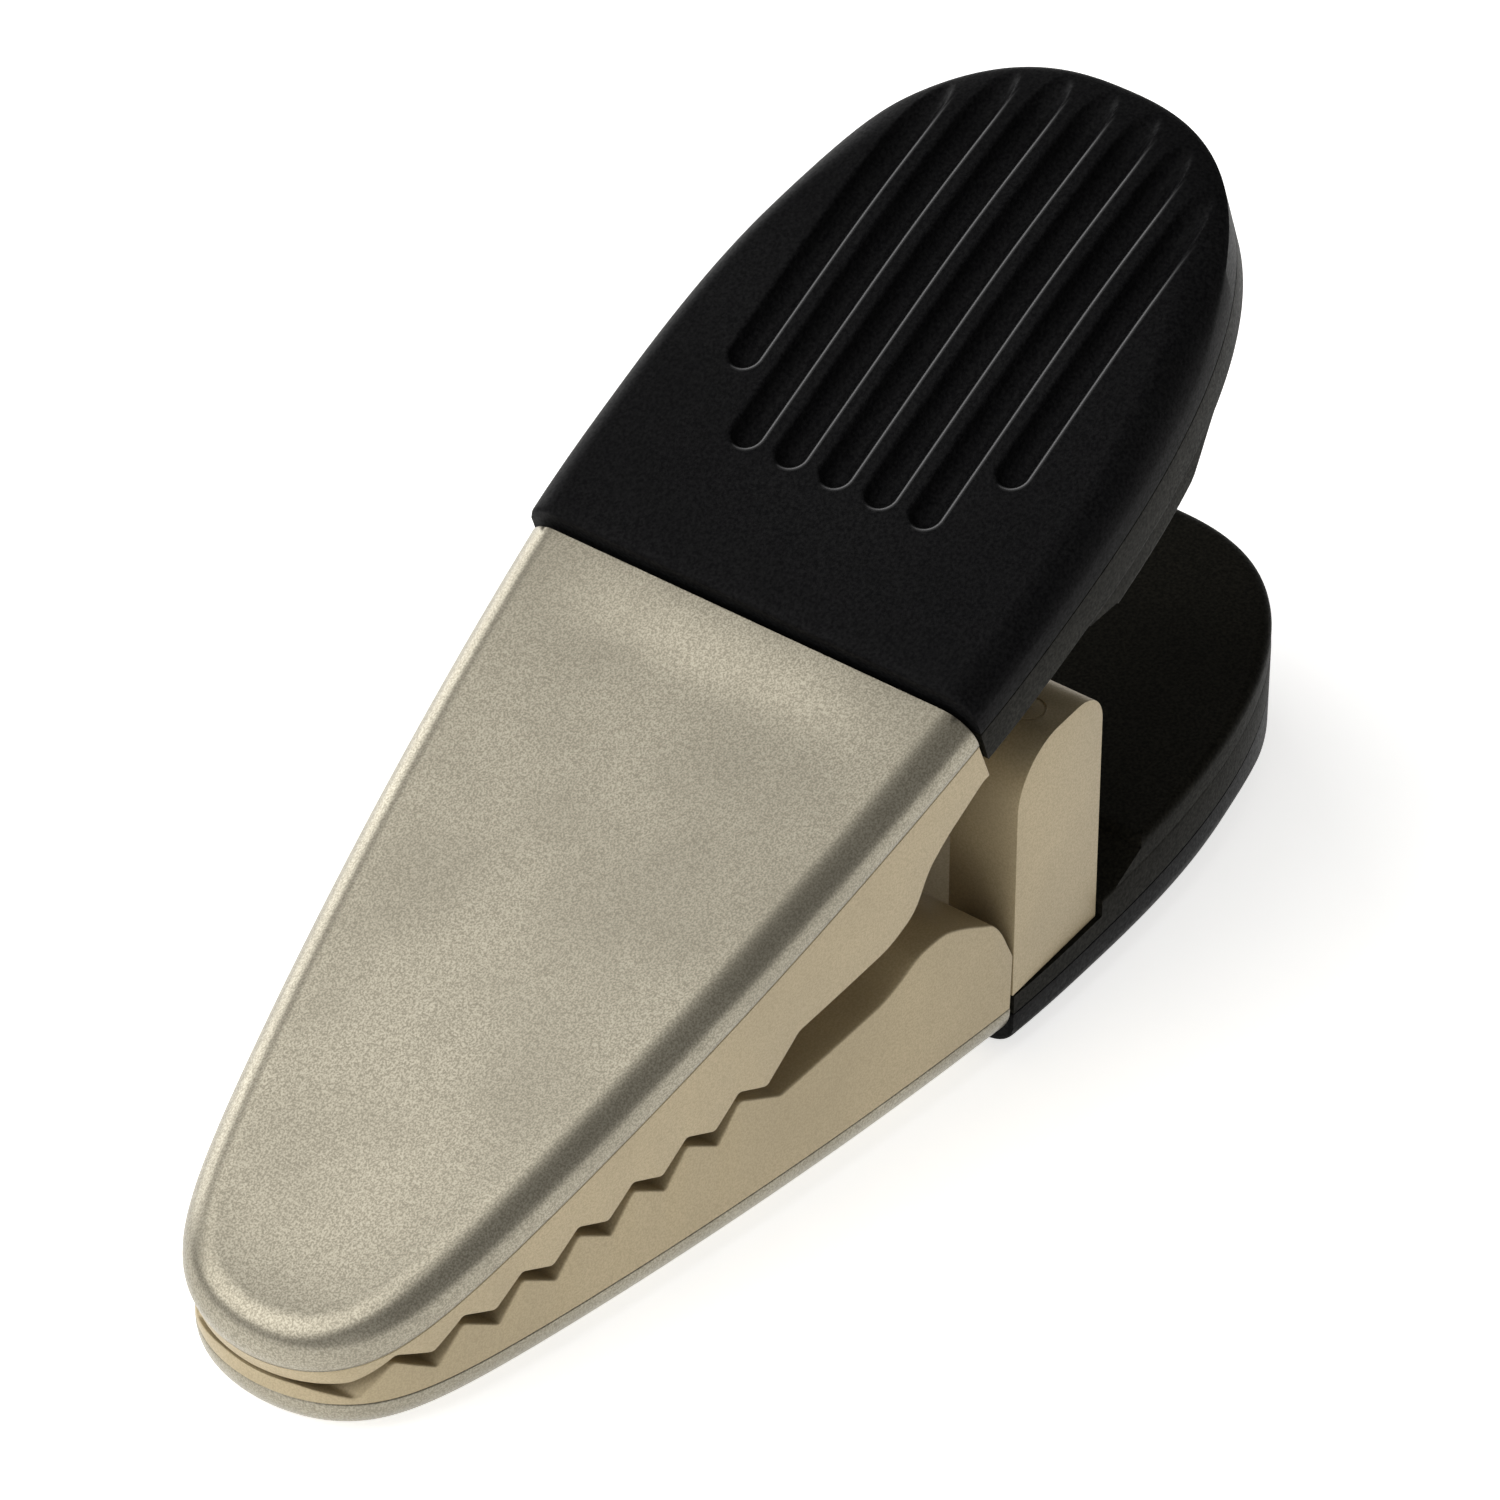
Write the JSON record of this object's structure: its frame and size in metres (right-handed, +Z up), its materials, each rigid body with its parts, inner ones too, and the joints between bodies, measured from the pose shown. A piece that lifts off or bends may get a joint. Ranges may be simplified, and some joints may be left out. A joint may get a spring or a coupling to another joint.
{
  "type": "spring clamp clip",
  "caption": "Spring clamp clip with two hinged arms, meshing toothed jaws under smooth shells, and ribbed finger grips.",
  "frame": {"origin": "on the surface that the closed clip lies on, under the centre of its box", "axes": "+X from the nose to the grip tips, +Y across the clip, +Z up from the lower arm to the upper arm"},
  "size_m": [0.1042, 0.0356, 0.0511],
  "materials": {
    "shell": "satin silver-champagne paint on plastic",
    "body": "champagne moulded plastic",
    "grip_cap": "black, finely textured",
    "grip_base": "black, smooth moulded",
    "pin_steel": "drawn steel",
    "spring_steel": "spring wire"
  },
  "bodies": {
    "lower_arm": {"lower_jaw_shell": "shell", "lower_jaw_body": "body", "lower_hinge_bracket": "body", "lower_grip_cap": "grip_cap", "lower_grip_base": "grip_base", "hinge_pin": "pin_steel", "torsion_spring": "spring_steel"},
    "upper_arm": {"upper_jaw_shell": "shell", "upper_jaw_body": "body", "upper_hinge_bracket": "body", "upper_grip_cap": "grip_cap", "upper_grip_base": "grip_base"}
  },
  "joints": [
    {"name": "jaw_hinge", "type": "hinge", "parent": "lower_arm", "child": "upper_arm", "pos_m": [0.01064, 0, 0.01843], "axis": [0, 1, 0], "range_deg": [0, 44], "stiffness_Nm_per_rad": 0.5, "springref_deg": -28.65, "deforming": ["torsion_spring"]}
  ]
}
